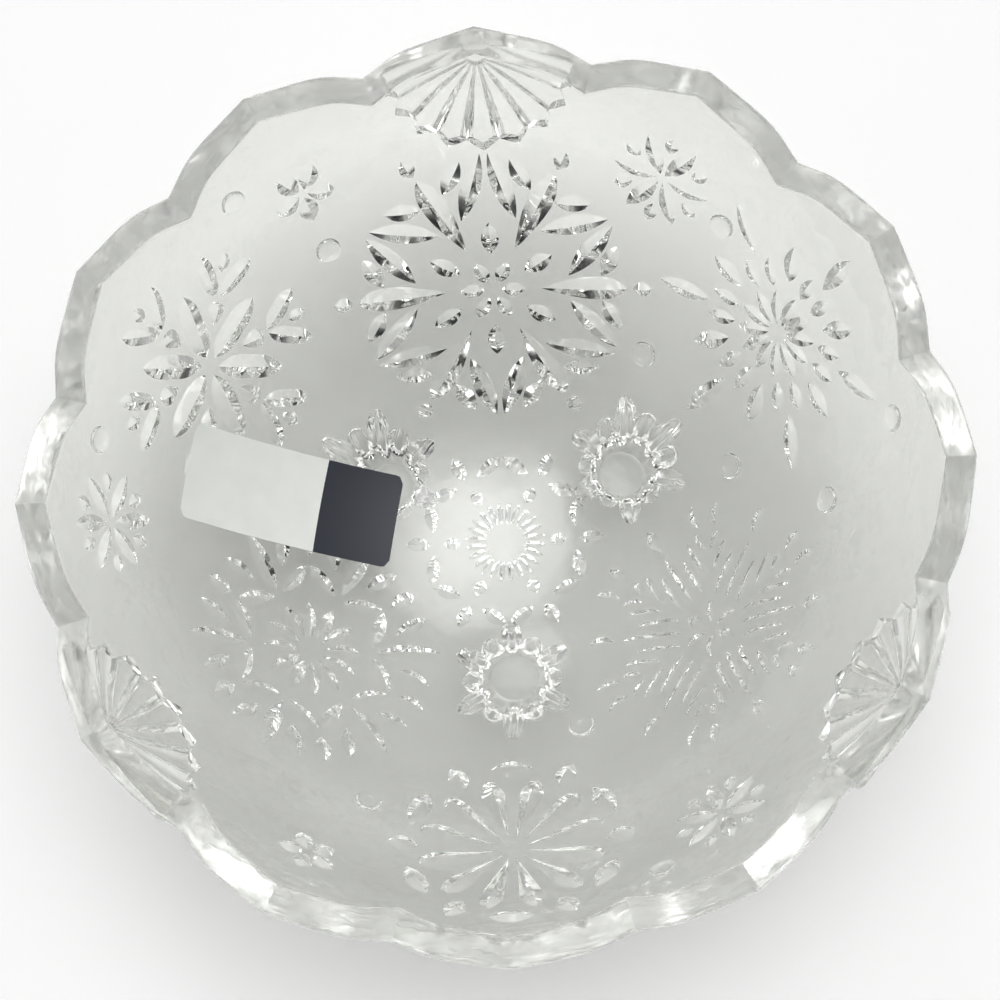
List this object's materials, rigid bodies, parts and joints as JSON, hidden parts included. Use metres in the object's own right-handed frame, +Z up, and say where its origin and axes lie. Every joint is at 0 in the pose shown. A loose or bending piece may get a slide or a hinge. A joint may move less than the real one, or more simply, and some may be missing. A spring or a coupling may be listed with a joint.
{
  "type": "glass votive candle bowl",
  "caption": "Clear pressed-glass bowl for floating votive candles, with a scalloped rim, raised fans under the rim, snowflake-shaped feet and a blank paper sticker inside.",
  "frame": {"origin": "on the table, under the middle of the bowl", "axes": "+Z up along the bowl's axis; a foot stands towards -Y, and the fan opposite it is towards +Y"},
  "size_m": [0.1588, 0.1588, 0.066],
  "materials": {
    "clear_glass": "clear fire-polished pressed glass with a faint grey-green body",
    "foot_glass": "clear fire-polished pressed glass, thicker and a little greener",
    "sticker_paper": "coated paper, pale field with a dark blue panel, unprinted"
  },
  "bodies": {
    "root": {"bowl": "clear_glass", "foot_front": "foot_glass", "foot_right": "foot_glass", "foot_left": "foot_glass", "sticker": "sticker_paper"}
  },
  "joints": []
}
